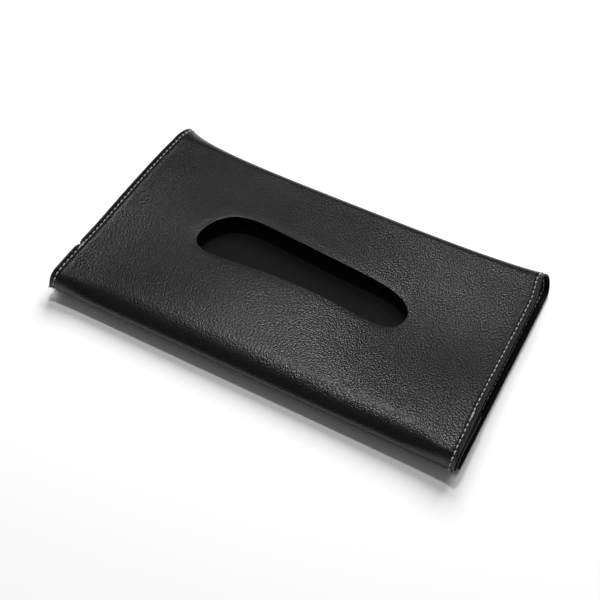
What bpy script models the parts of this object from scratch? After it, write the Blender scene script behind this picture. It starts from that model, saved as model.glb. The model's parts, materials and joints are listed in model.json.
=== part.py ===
# Car tissue holder for a sun visor: an open-ended leather sleeve, lying on its back.
# One lined sheet is wrapped round the tissue pack. Its top panel has the dispensing slot, and it
# rolls over at both long edges. At the front it turns under into a short flap, whose ends are
# drawn up and sewn to the top panel, so that it makes a pocket. At the rear it turns under into
# a long flap that closes the back and carries the two elastic visor bands.
# X runs along the holder, +Y to the rear fold, +Z up through the slot. The origin is on the
# surface that the bands rest on, under the middle. Lengths are in metres.

import math

import bpy
import bmesh

# Whole holder
HOLDER_LENGTH = 0.2355
HOLDER_DEPTH = 0.1360
END_HEIGHT = 0.0145

# How the empty sleeve slumps between its stiffer sewn ends
MIDDLE_SAG_REAR = 0.0024
MIDDLE_SAG_FRONT = 0.0012
PANEL_DIP = 0.0007
REAR_BOW = 0.0028
REAR_SKEW = 0.0013
SLUMP_POWER_SHARE = 3.7

# The rear roll flares at its left end, where it has been pulled open
LEFT_FLARE_OUT = 0.0030
FLARE_POWER_SHARE = 6

# How far the top panel's ends stand back from the flap's ends, less so at the front
END_LEAN = 0.0018
FRONT_LEAN_SHARE = 0.25
FRONT_LEAN_REACH = 0.0470

# and more so at the two rear corners
LEFT_CORNER_LEAN = 0.0006
RIGHT_CORNER_LEAN = 0.0026
CORNER_LEAN_MARGIN = 0.0295
CORNER_LEAN_REACH = 0.0220

# The lined sheet
LEATHER_THICKNESS = 0.0008
LINING_THICKNESS = 0.0005
LINING_SETBACK = 0.0004
LAY_GAP = 0.0003

# Dispensing slot, seen from above
SLOT_LENGTH = 0.1246
SLOT_CENTRE_X = -0.0013
SLOT_FRONT_REACH = 0.0160
SLOT_REAR_REACH = 0.0188
SLOT_FRONT_ARCH = 0.0080
SLOT_REAR_SKEW = 0.0053
SLOT_END_TAPER = 0.0023
SLOT_ROUNDNESS_SHARE = 6.4

# Visor bands, sewn on across the back
BAND_WIDTH = 0.0175
BAND_THICKNESS = 0.0008
BAND_END_MARGIN = 0.0498
BAND_REAR_MARGIN = 0.0050
BAND_FRONT_MARGIN = 0.0005
RIGHT_BAND_SHIFT = 0.0027

# The front flap, and where its ends are drawn up to the top panel
FRONT_FLAP_REACH = 0.0305
SEAM_MARGIN = 0.0060
DRAW_LENGTH = 0.0240
DROOP_RADIUS = 0.0075

# The rear flap, and the crease that it folds at, in from the rear edge
REAR_CREASE_MARGIN = 0.0145
REAR_FLAP_MARGIN = 0.0055
FLAP_CORNER_RADIUS = 0.0060

# Hook and loop tape that holds the flaps together
TAPE_LENGTH = 0.0500
TAPE_WIDTH = 0.0140
TAPE_THICKNESS = 0.0005
TAPE_END_MARGIN = 0.0307
TAPE_CORNER_RADIUS = 0.0020
TAPE_EDGE_MARGIN = 0.0030

CUT_OVERRUN = 0.0050

# How finely curves are divided
LENGTH_STEPS = 28
FLAP_STEPS = 3
FRONT_ARC_STEPS = 4
FOLD_STEPS = 10
PANEL_STEPS = 10
SLOT_STEPS = 40
CORNER_STEPS = 6

half_length = HOLDER_LENGTH / 2
half_depth = HOLDER_DEPTH / 2
half_gap = LAY_GAP / 2
rear_crease_y = half_depth - REAR_CREASE_MARGIN
rear_flap_edge_y = -half_depth + REAR_FLAP_MARGIN
front_flap_edge_y = -half_depth + FRONT_FLAP_REACH

# Heights of the layers in the back, from the surface up
rear_leather_z = BAND_THICKNESS + LAY_GAP
rear_lining_z = rear_leather_z + LEATHER_THICKNESS + LAY_GAP
loop_tape_z = rear_lining_z + LINING_THICKNESS + LAY_GAP
hook_tape_z = loop_tape_z + TAPE_THICKNESS + LAY_GAP
front_leather_z = hook_tape_z + TAPE_THICKNESS + LAY_GAP

# The sewn pocket ends: two lined sheets, lining to lining
lined_thickness = LEATHER_THICKNESS + LAY_GAP + LINING_THICKNESS
seam_stack = 2 * lined_thickness + LAY_GAP

# Depth of each surface of the lined sheet below its outer face
LEATHER_LAYER = (0.0, LEATHER_THICKNESS)
lining_depth = LEATHER_THICKNESS + LAY_GAP
LINING_LAYER = (lining_depth, lining_depth + LINING_THICKNESS)


def clear_scene():
    for item in list(bpy.data.objects):
        bpy.data.objects.remove(item, do_unlink=True)


def make_material(name, colour, roughness, metallic=0.0):
    material = bpy.data.materials.new(name)
    material.use_nodes = True
    shader = material.node_tree.nodes["Principled BSDF"]
    shader.inputs["Base Color"].default_value = (*colour, 1.0)
    shader.inputs["Roughness"].default_value = roughness
    shader.inputs["Metallic"].default_value = metallic
    return material


def place_mesh(name, mesh_data, material, origin=(0.0, 0.0, 0.0)):
    """Turn a bmesh into a named object whose origin is the given point."""
    bmesh.ops.recalc_face_normals(mesh_data, faces=mesh_data.faces)
    bmesh.ops.translate(mesh_data, verts=mesh_data.verts, vec=[-c for c in origin])
    mesh = bpy.data.meshes.new(name)
    mesh_data.to_mesh(mesh)
    mesh_data.free()
    mesh.materials.append(material)
    mesh.shade_smooth()
    mesh.set_sharp_from_angle(angle=math.radians(35))
    item = bpy.data.objects.new(name, mesh)
    item.location = origin
    bpy.context.collection.objects.link(item)
    return item


# The wrapped sleeve

def slump(share):
    """1 at the middle of the holder's length and 0 at its sewn ends."""
    return 1.0 - abs(share) ** SLUMP_POWER_SHARE


def left_flare(share):
    return max(0.0, -share) ** FLARE_POWER_SHARE


def rear_edge_y(share):
    skew = REAR_SKEW * (1.0 + share) / 2
    drawn_in = LEFT_FLARE_OUT * (1.0 - left_flare(share))
    return half_depth - drawn_in - REAR_BOW * slump(share) - skew


def rear_height(share):
    return END_HEIGHT - MIDDLE_SAG_REAR * slump(share)


def front_height(share):
    return END_HEIGHT - MIDDLE_SAG_FRONT * slump(share)


def smooth(value):
    value = min(1.0, max(0.0, value))
    return value * value * (3.0 - 2.0 * value)


def drawn_up(share):
    """1 where the front flap is sewn up to the top panel, and 0 where it lies flat."""
    start = half_length - SEAM_MARGIN - DRAW_LENGTH
    return smooth((abs(share) * half_length - start) / DRAW_LENGTH)


def arc(centre, radius, start, stop, steps):
    """Points of an arc from the start angle to the stop angle, in degrees."""
    points = []
    for step in range(steps + 1):
        angle = math.radians(start + (stop - start) * step / steps)
        points.append((centre[0] + radius * math.cos(angle), centre[1] + radius * math.sin(angle)))
    return points


def flap_run(edge_y, stop_y, level):
    run = [step / FLAP_STEPS for step in range(FLAP_STEPS)]
    return [(edge_y * (1 - along) + stop_y * along, level) for along in run]


def open_roll(edge_y, top):
    """The front flap and roll where they stand open: a flat run and half a ring."""
    radius = (top - front_leather_z) / 2
    centre = (-half_depth + radius, front_leather_z + radius)
    steps = 2 * FRONT_ARC_STEPS + FOLD_STEPS
    return flap_run(edge_y, centre[0], front_leather_z) + arc(centre, radius, -90, -270, steps)


def sewn_roll(edge_y, top):
    """The front flap and roll where they are sewn: a flat double sheet that droops at the front."""
    centre = (-half_depth + DROOP_RADIUS, top - DROOP_RADIUS)
    nose = (-half_depth + seam_stack / 2, centre[1])
    points = flap_run(edge_y, centre[0], top - seam_stack)
    points += arc(centre, DROOP_RADIUS - seam_stack, 90, 180, FRONT_ARC_STEPS)[:-1]
    points += arc(nose, seam_stack / 2, 0, -180, FOLD_STEPS)[:-1]
    return points + arc(centre, DROOP_RADIUS, 180, 90, FRONT_ARC_STEPS)


def panel_lean(share, y):
    """How far the top panel's end stands back at one place across it."""
    front = smooth((y + half_depth) / FRONT_LEAN_REACH)
    corner = LEFT_CORNER_LEAN if share < 0 else RIGHT_CORNER_LEAN
    rear = smooth((y - half_depth + CORNER_LEAN_MARGIN) / CORNER_LEAN_REACH)
    return END_LEAN * (FRONT_LEAN_SHARE + (1 - FRONT_LEAN_SHARE) * front) + corner * rear


def outer_face(share, setback):
    """The wrapped sheet's outer face at one place along the holder, from the front flap's free
    edge round to the rear crease, as points (y, z, how far the end stands back there)."""
    front_top = front_height(share)
    rear_top = rear_height(share)
    sewn = drawn_up(share)
    edge_y = front_flap_edge_y - setback
    points = []
    pairs = zip(open_roll(edge_y, front_top), sewn_roll(edge_y, front_top))
    for k, ((open_y, open_z), (sewn_y, sewn_z)) in enumerate(pairs):
        y = open_y * (1 - sewn) + sewn_y * sewn
        z = open_z * (1 - sewn) + sewn_z * sewn
        under = k < FLAP_STEPS + FRONT_ARC_STEPS + FOLD_STEPS
        points.append((y, z, END_LEAN * FRONT_LEAN_SHARE if under else panel_lean(share, y)))
    front_y = points[-1][0]
    radius = (rear_top - rear_leather_z) / 2
    rear_y = rear_edge_y(share) - radius
    for step in range(1, PANEL_STEPS):
        across = step / PANEL_STEPS
        y = front_y * (1 - across) + rear_y * across
        level = front_top * (1 - across) + rear_top * across
        level -= PANEL_DIP * math.sin(math.pi * across) * slump(share)
        points.append((y, level, panel_lean(share, y)))
    rear_roll = arc((rear_y, rear_leather_z + radius), radius, 90, -90, FOLD_STEPS)
    rear_roll.append((rear_crease_y + half_gap, rear_leather_z))
    for y, z in rear_roll:
        rise = (z - rear_leather_z) / (rear_top - rear_leather_z)
        points.append((y, z, panel_lean(share, rear_y) * rise))
    return points


def inset(face, depth):
    """The face moved into the sheet by a depth, square to it at each point."""
    points = []
    for k, (y, z, lean) in enumerate(face):
        before = face[max(k - 1, 0)]
        after = face[min(k + 1, len(face) - 1)]
        run_y, run_z = after[0] - before[0], after[1] - before[1]
        length = math.hypot(run_y, run_z)
        points.append((y + depth * run_z / length, z - depth * run_y / length, lean))
    return points


def sleeve_ring(mesh_data, share, layer, setback):
    """One closed section of a layer."""
    face = outer_face(share, setback)
    ring = []
    for y, z, lean in inset(face, layer[0]) + inset(face, layer[1])[::-1]:
        ring.append(mesh_data.verts.new((share * (half_length - lean), y, z)))
    return ring


def sleeve_layer(name, layer, setback, material):
    mesh_data = bmesh.new()
    rings = []
    for step in range(LENGTH_STEPS + 1):
        # sections lie closer together near the ends, where the sheet lifts
        share = math.sin(math.pi / 2 * (2 * step / LENGTH_STEPS - 1))
        rings.append(sleeve_ring(mesh_data, share, layer, setback))
    count = len(rings[0])
    for first, second in zip(rings, rings[1:]):
        for k in range(count):
            # both faces of a layer are split the same way, so that the layers can't cross
            a, b = (k, (k + 1) % count) if k < count // 2 else ((k + 1) % count, k)
            mesh_data.faces.new((first[a], first[b], second[b]))
            mesh_data.faces.new((first[a], second[b], second[a]))
    for ring in (rings[0], rings[-1]):
        for k in range(count // 2 - 1):
            mesh_data.faces.new((ring[k], ring[k + 1], ring[-k - 2], ring[-k - 1]))
    return place_mesh(name, mesh_data, material)


def slot_outline(margin):
    """The slot from above: rounded ends, a front lip that arches in and a skewed rear lip."""
    reach = SLOT_LENGTH / 2 + margin
    middle = (SLOT_REAR_REACH - SLOT_FRONT_REACH) / 2
    half_width = (SLOT_REAR_REACH + SLOT_FRONT_REACH) / 2 + margin
    points = []
    for step in range(SLOT_STEPS):
        angle = 2 * math.pi * step / SLOT_STEPS
        along = math.copysign(math.sqrt(abs(math.cos(angle))), math.cos(angle))
        round_off = math.sqrt(1 - abs(along) ** SLOT_ROUNDNESS_SHARE)
        if math.sin(angle) >= 0:
            y = middle + (half_width - SLOT_REAR_SKEW * along) * round_off
        else:
            y = middle - (half_width - SLOT_FRONT_ARCH * (1 - along ** 2)) * round_off
        taper = SLOT_END_TAPER * (y - middle) / half_width
        points.append((SLOT_CENTRE_X + (reach - taper) * along, y))
    return points


def cut_slot(item, margin):
    """Cut the slot through one layer of the top panel with a prism."""
    low = END_HEIGHT / 2
    high = END_HEIGHT + CUT_OVERRUN
    mesh_data = bmesh.new()
    bottom = [mesh_data.verts.new((x, y, low)) for x, y in slot_outline(margin)]
    base = mesh_data.faces.new(bottom)
    raised = bmesh.ops.extrude_face_region(mesh_data, geom=[base])
    top = [v for v in raised["geom"] if isinstance(v, bmesh.types.BMVert)]
    bmesh.ops.translate(mesh_data, verts=top, vec=(0.0, 0.0, high - low))
    cutter = place_mesh(item.name + "_slot_cutter", mesh_data, item.data.materials[0])
    cutter.hide_render = True
    cutter.display_type = "WIRE"
    cut = item.modifiers.new("slot", "BOOLEAN")
    cut.operation = "DIFFERENCE"
    cut.solver = "EXACT"
    cut.object = cutter


# Flat pieces of the back

def plate(name, low, high, radii, material, origin=(0.0, 0.0, 0.0)):
    """A flat sheet between two corners. radii: front left, front right, rear right, rear left."""
    (x0, y0, z0), (x1, y1, z1) = low, high
    corners = ((x0, y0, 180), (x1, y0, 270), (x1, y1, 0), (x0, y1, 90))
    mesh_data = bmesh.new()
    outline = []
    for (x, y, start), radius in zip(corners, radii):
        if radius == 0:
            outline.append((x, y))
            continue
        centre_x = x + math.copysign(radius, -x + (x0 + x1) / 2)
        centre_y = y + math.copysign(radius, -y + (y0 + y1) / 2)
        for step in range(CORNER_STEPS + 1):
            angle = math.radians(start + 90 * step / CORNER_STEPS)
            outline.append((centre_x + radius * math.cos(angle), centre_y + radius * math.sin(angle)))
    base = mesh_data.faces.new([mesh_data.verts.new((x, y, z0)) for x, y in outline])
    raised = bmesh.ops.extrude_face_region(mesh_data, geom=[base])
    top = [v for v in raised["geom"] if isinstance(v, bmesh.types.BMVert)]
    bmesh.ops.translate(mesh_data, verts=top, vec=(0.0, 0.0, z1 - z0))
    return place_mesh(name, mesh_data, material, origin)


def rear_flap(leather, lining):
    """The long flap that closes the back, hinged at the rear crease."""
    hinge = (0.0, rear_crease_y, rear_leather_z)
    root_y = rear_crease_y - half_gap
    edge_y = rear_flap_edge_y
    radii = (FLAP_CORNER_RADIUS, FLAP_CORNER_RADIUS, 0, 0)
    low = (-half_length, edge_y, rear_leather_z)
    high = (half_length, root_y, rear_leather_z + LEATHER_THICKNESS)
    plate("rear_flap_leather", low, high, radii, leather, hinge)
    low = (-half_length + LINING_SETBACK, edge_y + LINING_SETBACK, rear_lining_z)
    high = (half_length - LINING_SETBACK, root_y, rear_lining_z + LINING_THICKNESS)
    plate("rear_flap_lining", low, high, radii, lining, hinge)


def closure_tape(kind, side, centre_x, material):
    """One patch of tape: hook under the front flap, or loop facing it on the rear flap."""
    edge_y = front_flap_edge_y - TAPE_EDGE_MARGIN
    is_hook = kind == "hook"
    bottom = hook_tape_z if is_hook else loop_tape_z
    origin = (0.0, 0.0, 0.0) if is_hook else (0.0, rear_crease_y, rear_leather_z)
    low = (centre_x - TAPE_LENGTH / 2, edge_y - TAPE_WIDTH, bottom)
    high = (centre_x + TAPE_LENGTH / 2, edge_y, bottom + TAPE_THICKNESS)
    name = "closure_%s_%s" % (kind, side)
    plate(name, low, high, [TAPE_CORNER_RADIUS] * 4, material, origin)


def visor_band(side, centre_x, shift, material):
    """One elastic band across the back. The right one is sewn on a little further forward."""
    rear_y = rear_crease_y - BAND_REAR_MARGIN - shift
    front_y = rear_flap_edge_y + BAND_FRONT_MARGIN - shift
    low = (centre_x - BAND_WIDTH / 2, front_y, 0.0)
    high = (centre_x + BAND_WIDTH / 2, rear_y, BAND_THICKNESS)
    plate("visor_band_" + side, low, high, [0] * 4, material)


def build():
    clear_scene()
    leather = make_material("black_leather", (0.018, 0.018, 0.019), 0.48)
    lining = make_material("napped_lining", (0.008, 0.008, 0.008), 0.95)
    elastic = make_material("black_elastic", (0.012, 0.012, 0.013), 0.85)
    hook = make_material("hook_tape", (0.020, 0.020, 0.021), 0.70)
    loop = make_material("loop_tape", (0.012, 0.012, 0.012), 0.95)

    cut_slot(sleeve_layer("sleeve_leather", LEATHER_LAYER, 0.0, leather), 0.0)
    cut_slot(sleeve_layer("sleeve_lining", LINING_LAYER, LINING_SETBACK, lining), LINING_SETBACK)
    rear_flap(leather, lining)
    tape_x = half_length - TAPE_END_MARGIN - TAPE_LENGTH / 2
    band_x = half_length - BAND_END_MARGIN - BAND_WIDTH / 2
    for side, sign in (("left", -1), ("right", 1)):
        closure_tape("hook", side, sign * tape_x, hook)
        closure_tape("loop", side, sign * tape_x, loop)
    visor_band("left", -band_x, 0.0, elastic)
    visor_band("right", band_x, RIGHT_BAND_SHIFT, elastic)


build()
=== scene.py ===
# Car tissue holder for a sun visor: leather, lining, thread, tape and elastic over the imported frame.
# Lengths in the dictionaries are in millimetres, and the scene is in metres.

import json
import math

import bpy
import numpy as np
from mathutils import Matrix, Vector, noise


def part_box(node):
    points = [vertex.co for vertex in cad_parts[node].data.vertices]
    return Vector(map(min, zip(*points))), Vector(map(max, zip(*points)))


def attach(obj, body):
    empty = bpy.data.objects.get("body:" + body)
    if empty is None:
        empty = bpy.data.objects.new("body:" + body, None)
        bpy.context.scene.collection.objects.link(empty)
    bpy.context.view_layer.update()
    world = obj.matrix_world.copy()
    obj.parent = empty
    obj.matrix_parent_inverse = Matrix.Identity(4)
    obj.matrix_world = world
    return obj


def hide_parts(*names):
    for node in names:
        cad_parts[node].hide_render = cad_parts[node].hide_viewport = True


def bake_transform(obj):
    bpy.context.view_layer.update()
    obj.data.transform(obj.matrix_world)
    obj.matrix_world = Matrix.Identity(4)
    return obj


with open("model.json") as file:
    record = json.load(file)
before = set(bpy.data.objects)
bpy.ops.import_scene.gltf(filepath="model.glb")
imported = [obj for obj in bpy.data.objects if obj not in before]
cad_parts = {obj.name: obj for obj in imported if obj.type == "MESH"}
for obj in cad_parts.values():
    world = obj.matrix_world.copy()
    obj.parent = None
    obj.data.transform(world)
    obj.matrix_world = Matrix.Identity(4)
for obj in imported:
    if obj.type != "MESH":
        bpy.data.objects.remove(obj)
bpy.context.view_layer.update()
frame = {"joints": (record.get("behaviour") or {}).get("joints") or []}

mm = 0.001
layGap = 0.3                    # between layers that touch
random = np.random.default_rng(7)

# places that come from the frame
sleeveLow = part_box("sleeve_leather")[0]
flapLow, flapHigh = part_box("rear_flap_leather")
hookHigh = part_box("closure_hook_left")[1]
halfLength = flapHigh[0]
halfDepth = -sleeveLow[1]
backZ = flapLow[2]
flapEdgeY = flapLow[1]
frontZ = hookHigh[2] + layGap * mm
creaseY = next(j for j in frame["joints"] if j["name"] == "rear_flap_fold")["pos_m"][1]
print("frame loaded: half length %.1f mm, half depth %.1f mm" % (halfLength / mm, halfDepth / mm))


# small helpers

def smoothStep(value):
    value = np.clip(value, 0.0, 1.0)
    return value * value * (3.0 - 2.0 * value)


def bell(value, centre, width):
    return np.exp(-((value - centre) / width) ** 2)


def between(start, end, share):
    return start * (1 - share) + end * share


def addObject(name, vertices, faces, material, uvs=None):
    mesh = bpy.data.meshes.new(name)
    mesh.from_pydata([tuple(v) for v in vertices], [], faces)
    if uvs is not None:
        layer = mesh.uv_layers.new(name="flat")
        loopVertex = np.empty(len(mesh.loops), int)
        mesh.loops.foreach_get("vertex_index", loopVertex)
        layer.data.foreach_set("uv", np.asarray(uvs, np.float32)[loopVertex].ravel())
    mesh.shade_smooth()
    mesh.materials.append(material)
    item = bpy.data.objects.new(name, mesh)
    bpy.context.collection.objects.link(item)
    return item


# the wrapped sheet: one surface from the front flap's free edge round to the rear flap's edge

sheetShape = {
    "endHeight": 14.5,          # top of the sewn ends
    "rearSag": 2.4,             # how far the middle slumps, at the rear and at the front
    "frontSag": 1.2,
    "panelDip": 0.7,
    "slumpPower": 3.7,
    "rearBow": 2.8,             # how far the rear roll is drawn in at the middle
    "rearSkew": 1.3,            # and at the right end
    "leftFlareOut": 3.0,        # the rear roll stands open at its left end
    "flarePower": 6.0,
    "endLean": 1.8,             # how far the top panel's ends stand back from the flap's
    "frontLeanShare": 0.25,
    "frontLeanReach": 47.0,
    "leftCornerLean": 0.6,      # and at the rear corners
    "rightCornerLean": 2.6,
    "cornerLeanMargin": 29.5,
    "cornerLeanReach": 22.0,
    "leftTipLean": 0.8,         # the rear left tip is drawn in over its last stretch
    "leftTipReach": 13.0,
    "leftTipRound": 11.0,       # and rolls over in a longer curve
    "leftTipOut": 2.6,
    "leftTipTuck": 1.3,
    "tuckShare": 0.5,           # its lean comes in over this share of the height
    "tipPower": 11.0,
    "leftNoseLean": 0.9,        # the front left corner leans too
    "leftNoseReach": 30.0,
    "rightFlapOut": 0.45,       # the rear flap's right end stands out a little
    "flapOutPower": 40,
    "flapOutStart": 3.6,        # this and the slack's limits are places round the section
    "notchDepth": 1.7,          # a nick in the left margin where the front flap's edge ends
    "notchPlace": -40.3,
    "notchReach": 1.6,
    "notchPower": 60,
    "frontFlapReach": 30.5,     # from the front to the front flap's free edge
    "seamMargin": 6.0,          # the pocket's seam, and how fast the flap comes up to it
    "drawLength": 24.0,
    "droopRadius": 7.5,
    "crestReach": 15.0,         # between the ends the front droops from here to a close fold
    "foldReach": 3.0,
    "foldHeight": 2.2,
    "seamStack": 3.5,           # two lined sheets on each other
    "slackStart": 1.5,          # the sheet is slack between these
    "slackStop": 3.5,
    "sectionFade": 0.5,
    "undulation": 0.22,         # soft unevenness of the panel
    "undulationSize": 38.0,
    "undulationStretch": 1.3,   # shorter from front to rear than along the holder
}

frontArcShare = 4 / 18          # shares of the front roll's run in the sewn ends
noseShare = 14 / 18


def shapeOf(key):
    return sheetShape[key] * mm


# soft swells and hollows of the empty top sheet: heights in mm, from front to rear
swells = {
    "x": (-100, -60, -20, 20, 60, 100),
    "y": (-52, -28, 0, 28, 50),
    "reach": 27.0,
    "share": 1.15,
    "heights": ((-0.2, 0.1, -0.1, -0.3, 0.1, 0.8),
                (-0.2, -0.1, 0.6, 0.8, -0.1, -0.2),
                (0.5, 0.2, 0.5, 0.6, -0.9, -1.0),
                (0.4, 0.1, -0.2, -0.1, -0.5, -0.6),
                (-0.1, -0.1, -0.3, -0.2, 0.1, -0.2)),
}


def swellAt(x, y):
    total = np.zeros_like(np.asarray(y, float))
    for middleY, row in zip(swells["y"], swells["heights"]):
        for middleX, height in zip(swells["x"], row):
            away = (x / mm - middleX) ** 2 + (y / mm - middleY) ** 2
            total = total + height * np.exp(-away / (2 * swells["reach"] ** 2))
    return total * swells["share"] * mm


def panelLean(share, y):
    frontShare = sheetShape["frontLeanShare"]
    front = frontShare + (1 - frontShare) * smoothStep((y + halfDepth) / shapeOf("frontLeanReach"))
    corner = np.where(share < 0, shapeOf("leftCornerLean"), shapeOf("rightCornerLean"))
    rear = smoothStep((y - halfDepth + shapeOf("cornerLeanMargin")) / shapeOf("cornerLeanReach"))
    nose = smoothStep(1 - (y + halfDepth) / shapeOf("leftNoseReach"))
    nose = np.where(share < 0, shapeOf("leftNoseLean"), 0) * nose
    tip = smoothStep(1 + (y - halfDepth) / shapeOf("leftTipReach"))
    tip = np.where(share < 0, shapeOf("leftTipLean"), 0) * tip
    return shapeOf("endLean") * front + corner * rear + nose + tip


# the parts of the section, as y and z. part runs from 0 to 1 over each of them. sewn is 0 in the
# middle, and 1 at the ends, where the front flap is drawn up to the top panel

def frontFlapAt(part, frontTop, sewn):
    edgeY = -halfDepth + shapeOf("frontFlapReach")
    openY = between(edgeY, shapeOf("foldReach") - halfDepth, part)
    sewnY = between(edgeY, -halfDepth + shapeOf("droopRadius"), part)
    return between(openY, sewnY, sewn), between(frontZ, frontTop - shapeOf("seamStack"), sewn)


def frontRollAt(part, frontTop, sewn):
    # a close fold where it is open, a drooping double sheet where it is sewn
    fold, rise, crest = shapeOf("foldReach"), shapeOf("foldHeight"), shapeOf("crestReach")
    droop, stack = shapeOf("droopRadius"), shapeOf("seamStack")
    onArc, onNose = part < frontArcShare, part < noseShare
    lower = np.radians(-90 - 90 * np.clip(part / noseShare, 0, 1))
    upper = np.radians(180 - 90 * np.clip((part - noseShare) / (1 - noseShare), 0, 1))
    openY = -halfDepth + np.where(onNose, fold + fold * np.cos(lower), crest + crest * np.cos(upper))
    openZ = frontZ + rise + np.where(onNose, rise * np.sin(lower),
                                     (frontTop - frontZ - rise) * np.sin(upper))

    centreY, centreZ = -halfDepth + droop, frontTop - droop
    inner = np.radians(90 + 90 * np.clip(part / frontArcShare, 0, 1))
    turn = np.radians(-180 * np.clip((part - frontArcShare) / (noseShare - frontArcShare), 0, 1))
    turnY = -halfDepth + stack / 2 + stack / 2 * np.cos(turn)
    turnZ = centreZ + stack / 2 * np.sin(turn)
    sewnY = np.where(onArc, centreY + (droop - stack) * np.cos(inner),
                     np.where(onNose, turnY, centreY + droop * np.cos(upper)))
    sewnZ = np.where(onArc, centreZ + (droop - stack) * np.sin(inner),
                     np.where(onNose, turnZ, centreZ + droop * np.sin(upper)))
    return between(openY, sewnY, sewn), between(openZ, sewnZ, sewn)


def topPanelAt(part, frontTop, rearTop, rearY, slump, sewn):
    frontY = between(shapeOf("crestReach") - halfDepth, -halfDepth + shapeOf("droopRadius"), sewn)
    dip = shapeOf("panelDip") * np.sin(math.pi * part) * slump
    return between(frontY, rearY, part), between(frontTop, rearTop, part) - dip


def rearRollAt(part, rearTop, rearY, rearReach):
    angle = np.radians(90 - 180 * part)
    radius = (rearTop - backZ) / 2
    return rearY + rearReach * np.cos(angle), backZ + radius + radius * np.sin(angle)


def rearFlapAt(part, rearY):
    return between(rearY, flapEdgeY, part), np.full_like(part, backZ)


def rearRollPlace(share, rearTop, slump):
    # where the rear roll starts, and how far it reaches from there
    flare = np.maximum(0.0, -share) ** sheetShape["flarePower"]
    tip = np.maximum(0.0, -share) ** sheetShape["tipPower"]
    rearEdge = (halfDepth - shapeOf("leftFlareOut") * (1 - flare) - shapeOf("rearBow") * slump
                - shapeOf("rearSkew") * (1 + share) / 2)
    reach = (rearTop - backZ) / 2 + shapeOf("leftTipRound") * tip
    return rearEdge + shapeOf("leftTipOut") * tip - reach, reach


def endwise(share, along, y, z, rearTop, rearY):
    # x: the ends stand back from the flap's, and more so higher up
    under = shapeOf("endLean") * sheetShape["frontLeanShare"]
    height = np.clip((z - backZ) / (rearTop - backZ), 0, 1)
    rearmost = panelLean(share, rearY)
    tuck = shapeOf("leftTipTuck") * 4 * height * (1 - height)
    tucked = rearmost * smoothStep(height / sheetShape["tuckShare"]) + tuck
    rearLean = np.where(share < 0, tucked, rearmost * height)
    lean = np.where(along < 1 + noseShare, under, np.where(along < 3, panelLean(share, y), rearLean))
    fade = sheetShape["sectionFade"]
    flapOut = shapeOf("rightFlapOut") * np.maximum(0.0, share) ** sheetShape["flapOutPower"]
    flapOut = flapOut * smoothStep((along - sheetShape["flapOutStart"]) / fade)
    notch = shapeOf("notchDepth") * bell(y / mm, sheetShape["notchPlace"], sheetShape["notchReach"])
    notch = notch * np.maximum(0.0, -share) ** sheetShape["notchPower"]
    notch = notch * smoothStep((sheetShape["slackStop"] - along) / fade)
    return share * (halfLength - lean) + flapOut + notch


def sheetPoint(share, along):
    # share runs from -1 at the left end to 1 at the right one. along runs from 0 to 5 round the
    # section, one step each: front flap, front roll, top panel, rear roll, rear flap
    share, along = np.broadcast_arrays(np.asarray(share, float), np.asarray(along, float))
    slump = 1.0 - np.abs(share) ** sheetShape["slumpPower"]
    frontTop = shapeOf("endHeight") - shapeOf("frontSag") * slump
    rearTop = shapeOf("endHeight") - shapeOf("rearSag") * slump
    rearY, rearReach = rearRollPlace(share, rearTop, slump)
    drawStart = halfLength - shapeOf("seamMargin") - shapeOf("drawLength")
    sewn = smoothStep((np.abs(share) * halfLength - drawStart) / shapeOf("drawLength"))

    parts = [np.clip(along - zone, 0, 1) for zone in range(5)]
    places = (frontFlapAt(parts[0], frontTop, sewn),
              frontRollAt(parts[1], frontTop, sewn),
              topPanelAt(parts[2], frontTop, rearTop, rearY, slump, sewn),
              rearRollAt(parts[3], rearTop, rearY, rearReach),
              rearFlapAt(parts[4], rearY))
    zone = np.clip(along.astype(int), 0, 4)
    y, z = (np.choose(zone, coordinates) for coordinates in zip(*places))
    fade = sheetShape["sectionFade"]
    swell = swellAt(share * halfLength, y) * smoothStep((along - sheetShape["slackStart"]) / fade)
    z = z + swell * smoothStep((sheetShape["slackStop"] - along) / fade)
    return np.stack([endwise(share, along, y, z, rearTop, rearY), y, z], -1)


def sheetNormal(share, along):
    step = 1e-4
    right, left = np.minimum(share + step, 1), np.maximum(share - step, -1)
    ahead, behind = np.minimum(along + step, 5), np.maximum(along - step, 0)
    across = sheetPoint(right, along) - sheetPoint(left, along)
    around = sheetPoint(share, ahead) - sheetPoint(share, behind)
    normal = np.cross(across, around)
    return normal / np.linalg.norm(normal, axis=-1, keepdims=True)


def runOf(points):
    # the length of a line of points up to each of them
    return np.concatenate([[0], np.cumsum(np.linalg.norm(np.diff(points, axis=0), axis=1))])


def sectionLengths(share):
    return runOf(sheetPoint(np.full_like(alongTable, share), alongTable))


# lengths of the section up to each place round it: in the middle for the leather's own
# coordinates, and at the two stitch rows
rowShare = 0.975
tablePlaces = 1001
alongTable = np.linspace(0, 5, tablePlaces)
lengthTable = sectionLengths(0.0)
endTables = {-1: sectionLengths(-rowShare), 1: sectionLengths(rowShare)}


def flatLength(along):
    return np.interp(along, alongTable, lengthTable)


def alongAt(length):
    return np.interp(length, lengthTable, alongTable)


def endLength(share, along):
    left, right = (np.interp(along, alongTable, endTables[sign]) for sign in (-1, 1))
    return np.where(np.asarray(share) < 0, left, right)


sheetWidth = lengthTable[-1]
creaseAlong = 4 + (sheetPoint(0, 4)[1] - creaseY) / (sheetPoint(0, 4)[1] - flapEdgeY)
print("sheet laid flat: %.1f x %.1f mm" % (2 * halfLength / mm, sheetWidth / mm))


# what the seams do to the sheet near its two ends

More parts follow.
